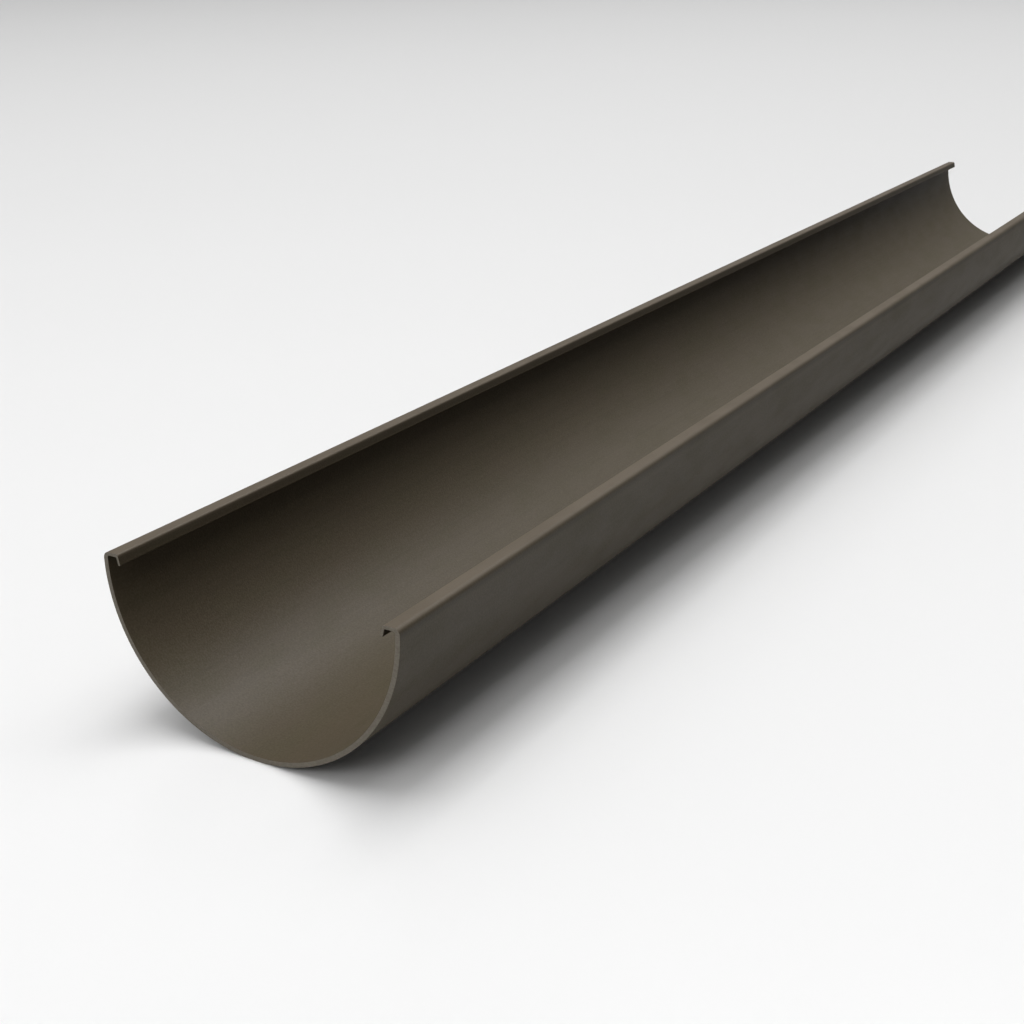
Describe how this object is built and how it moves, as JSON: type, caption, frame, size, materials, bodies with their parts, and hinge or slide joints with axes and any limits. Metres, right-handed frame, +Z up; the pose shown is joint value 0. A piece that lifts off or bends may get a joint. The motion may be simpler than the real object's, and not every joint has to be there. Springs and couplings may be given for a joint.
{
  "type": "gutter section",
  "caption": "Half-round plastic rain gutter section with folded, lipped rims, open at both sawn ends.",
  "frame": {"origin": "underside of the half round, halfway along the length and halfway across", "axes": "+Y along the gutter's length, +X across it, +Z up, out of the open side"},
  "size_m": [0.12, 1, 0.0625],
  "materials": {
    "upvc_umber": "extruded uPVC, umber brown through the wall, satin skin with fine draw lines along the length, sawn ends"
  },
  "bodies": {
    "root": {"gutter_trough": "upvc_umber"}
  },
  "joints": []
}
